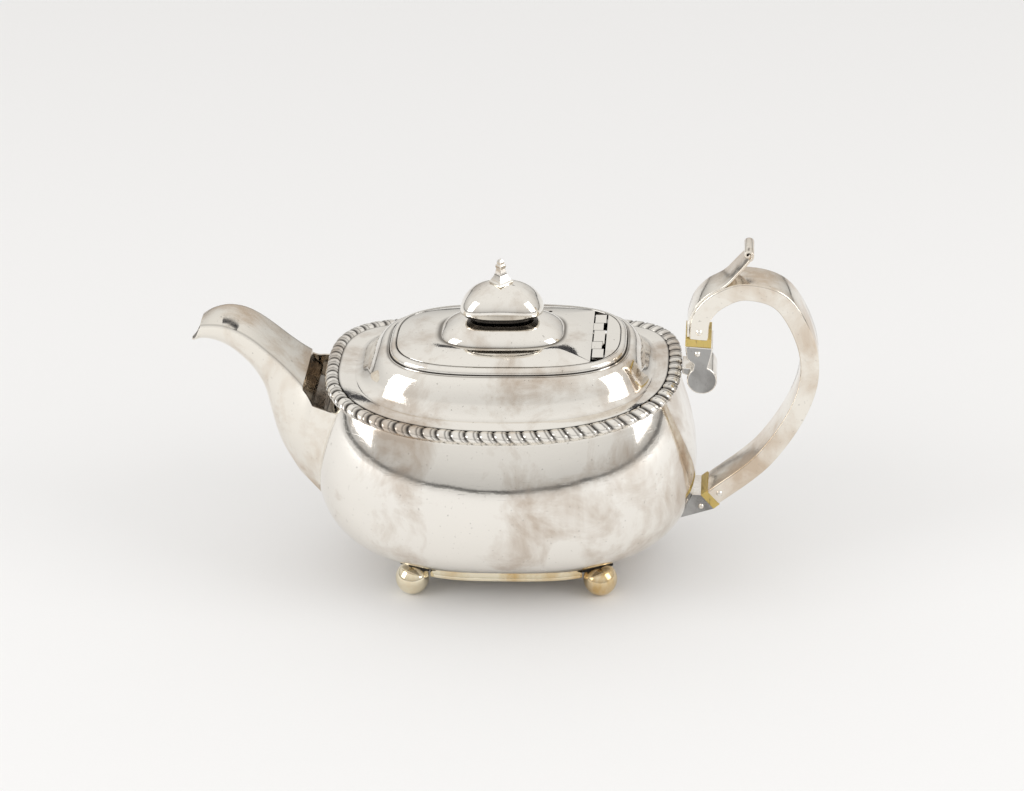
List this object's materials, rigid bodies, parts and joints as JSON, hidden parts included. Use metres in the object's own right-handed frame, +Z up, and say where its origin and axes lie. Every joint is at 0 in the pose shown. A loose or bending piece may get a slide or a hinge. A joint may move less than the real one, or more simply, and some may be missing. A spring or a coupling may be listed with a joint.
{
  "type": "teapot",
  "caption": "Oblong cushion-shaped silver teapot with gadroon rim, tiered shoulder, flush hinged lid, swan spout, insulated loop handle and ball feet.",
  "frame": {"origin": "on the table plane, midway between the spout's tip and the back of the handle, on the pot's mirror plane", "axes": "+X towards the handle, -X towards the spout, +Y across the pot, +Z up"},
  "size_m": [0.2851, 0.1272, 0.1641],
  "materials": {
    "silver": "polished sterling silver with a warm patina",
    "tarnished_silver": "grey tarnished silver",
    "gilt_tarnished_silver": "silver with a golden tarnish",
    "dark_silver": "dark unpolished silver",
    "ivory": "aged yellow ivory"
  },
  "bodies": {
    "pot": {"body": "silver", "shoulder": "silver", "gadroon_rim": "silver", "foot_ring": "gilt_tarnished_silver", "foot_bracket_1": "tarnished_silver", "foot_bracket_2": "tarnished_silver", "foot_bracket_3": "tarnished_silver", "foot_bracket_4": "tarnished_silver", "ball_foot_1": "gilt_tarnished_silver", "ball_foot_2": "gilt_tarnished_silver", "ball_foot_3": "gilt_tarnished_silver", "ball_foot_4": "gilt_tarnished_silver", "spout_shell": "silver", "spout_cover": "silver", "strainer": "tarnished_silver", "lid_collar": "silver", "lid_bearer": "tarnished_silver", "hinge_plate": "silver", "fixed_knuckles": "silver", "hinge_pin": "dark_silver", "handle": "silver", "thumb_piece": "silver", "upper_socket": "tarnished_silver", "lower_socket": "tarnished_silver", "upper_insulator": "ivory", "lower_insulator": "ivory", "upper_pins": "silver", "lower_pins": "silver"},
    "lid": {"lid": "silver", "lid_bezel": "tarnished_silver", "lid_knuckles": "silver", "finial_base": "tarnished_silver", "finial_cap": "silver", "finial_spire": "silver", "finial_screw": "dark_silver", "finial_nut": "dark_silver"}
  },
  "joints": [
    {"name": "lid_hinge", "type": "hinge", "parent": "pot", "child": "lid", "pos_m": [0.0432, 0, 0.1154], "axis": [0, 1, 0], "range_deg": [0, 90]}
  ]
}
